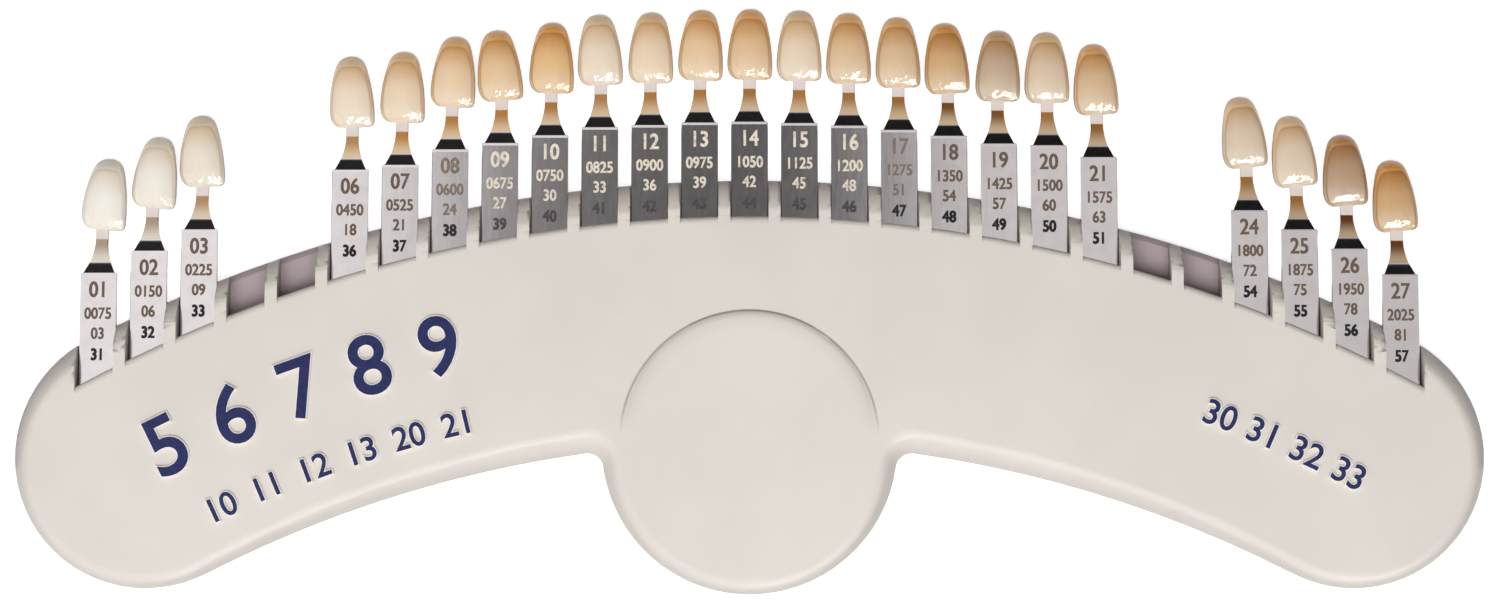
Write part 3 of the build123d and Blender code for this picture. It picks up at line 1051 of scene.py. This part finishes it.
class ShadeGuideStage(bpy.types.Operator):
    """Lay the floor, light the guide and place the camera"""

    bl_idname = "shade_guide.stage"
    bl_label = "Floor, light and camera"

    # size and place of each lamp and the point it aims at, in metres
    key_lamp = ((0.8, 0.5), (-0.08, -0.38, 0.94), (0, 0.03, 0))
    edge_lamp = ((0.75, 0.16), (0.3, -0.76, 0.38), (0, 0.05, 0))

    def add_lamp(self, context, name, power, lamp_place, shine):
        """Area lamp that gives either the shine on glossy surfaces or the light on matt ones."""
        size, place, aim = lamp_place
        data = bpy.data.lights.new(name, "AREA")
        data.shape = "RECTANGLE"
        data.size, data.size_y = size
        data.energy = power
        lamp = bpy.data.objects.new(name, data)
        context.scene.collection.objects.link(lamp)
        lamp.location = place
        lamp.rotation_euler = (Vector(aim) - Vector(place)).to_track_quat("-Z", "Y").to_euler()
        lamp.visible_glossy = shine
        lamp.visible_diffuse = not shine

    def camera_shape(self, across, along):
        """Dark shape of the camera overhead, wider than high, a little left of the mirror direction."""
        shape = across.smooth(-0.086, -0.056) * (1 - across.smooth(0.022, 0.052))
        shape = shape * along.smooth(-0.05, 0.08) * (1 - along.smooth(0.25, 0.32))
        # it thins out to the left
        return shape * (0.90 + 1.6 * across.at_least(-0.05).at_most(0))

    def light_world(self, context, settings):
        """Light all round, dimmer beyond the teeth, with the dark camera seen in the steel."""
        world = bpy.data.worlds.new("studio")
        world.use_nodes = True
        context.scene.world = world
        tree = world.node_tree
        tree.nodes.clear()
        x, y, z = Wire.node(tree, "ShaderNodeTexCoord").parts()
        spread = (settings.ambient * (1 - 0.95 * y - 0.25 * x)).at_least(0.03)
        # what shiny surfaces see: slopes from straight up, to the right and beyond the teeth
        steep = z.at_least(0.05)
        across = x / steep
        camera = self.camera_shape(across, y / steep)
        beyond = y.smooth(0.86, 0.93)
        fall = (0.89 - 1.2 * across).at_most(1.05).at_least(0.6)
        mirrored = fall * (1 - camera.at_least(0.98 * beyond))
        seen, glossy = ray_is(tree, "Camera"), ray_is(tree, "Glossy")
        strength = spread * (1 - glossy) + mirrored * glossy
        strength = strength * (1 - seen) + seen
        ground = Wire.node(tree, "ShaderNodeBackground", None, {"Color": (1, 1, 1, 1), "Strength": strength})
        output = tree.nodes.new("ShaderNodeOutputWorld")
        tree.links.new(ground.socket, output.inputs["Surface"])

    def place_camera(self, context, settings):
        data = bpy.data.cameras.new("camera")
        data.sensor_width = 36
        data.lens = data.sensor_width * settings.camera_distance / settings.view_width
        data.clip_end = 20
        camera = bpy.data.objects.new("camera", data)
        context.scene.collection.objects.link(camera)
        tilt = settings.camera_tilt
        aim = Vector((0.1 * MM, settings.view_y, 6 * MM))
        camera.location = aim + settings.camera_distance * Vector((0, -sin(tilt), cos(tilt)))
        camera.rotation_euler = (tilt, 0, 0)
        context.scene.camera = camera

    def lay_floor(self, context, settings):
        half = settings.floor_size / 2
        ground = cad_bounds[0].z - 0.2 * MM
        corners = [(x * half, y * half, ground) for x, y in ((-1, -1), (1, -1), (1, 1), (-1, 1))]
        mesh = bpy.data.meshes.new("floor")
        mesh.from_pydata(corners, [], [(0, 1, 2, 3)])
        mesh.materials.append(floor_material())
        floor = bpy.data.objects.new("floor", mesh)
        context.scene.collection.objects.link(floor)

    def execute(self, context):
        settings = context.scene.guide_stage
        self.lay_floor(context, settings)
        self.add_lamp(context, "key", settings.key, self.key_lamp, False)
        self.add_lamp(context, "edge", settings.edge, self.edge_lamp, True)
        self.light_world(context, settings)
        self.place_camera(context, settings)
        context.scene.view_settings.view_transform = "Standard"
        return {"FINISHED"}


class ShadeGuidePanel(bpy.types.Panel):
    """Sizes, colours and steps of the shade guide"""

    bl_idname = "VIEW3D_PT_shade_guide"
    bl_label = "Shade Guide"
    bl_space_type = "VIEW_3D"
    bl_region_type = "UI"
    bl_category = "Shade Guide"

    def draw(self, context):
        layout = self.layout
        for title, group in SETTINGS.items():
            box = layout.box()
            box.label(text=group.__doc__)
            settings = getattr(context.scene, title)
            for name in group.__annotations__:
                box.prop(settings, name)
        for step in STEPS:
            layout.operator(step.bl_idname)


SETTINGS = {
    "guide_holder": HolderSettings,
    "guide_tab": TabSettings,
    "guide_tooth": ToothSettings,
    "guide_stage": StageSettings,
}
STEPS = (
    ShadeGuideHolder,
    ShadeGuideStems,
    ShadeGuideCodes,
    ShadeGuideTeeth,
    ShadeGuideNumbers,
    ShadeGuideStage,
)


def register():
    for title, group in SETTINGS.items():
        bpy.utils.register_class(group)
        setattr(bpy.types.Scene, title, PointerProperty(type=group))
    for step in STEPS:
        bpy.utils.register_class(step)
    bpy.utils.register_class(ShadeGuidePanel)


def unregister():
    bpy.utils.unregister_class(ShadeGuidePanel)
    for step in reversed(STEPS):
        bpy.utils.unregister_class(step)
    for title, group in reversed(list(SETTINGS.items())):
        delattr(bpy.types.Scene, title)
        bpy.utils.unregister_class(group)


def main():
    register()
    bpy.ops.shade_guide.holder()
    bpy.ops.shade_guide.stems()
    bpy.ops.shade_guide.codes()
    bpy.ops.shade_guide.teeth()
    bpy.ops.shade_guide.numbers()
    bpy.ops.shade_guide.stage()


if __name__ == "__main__":
    main()
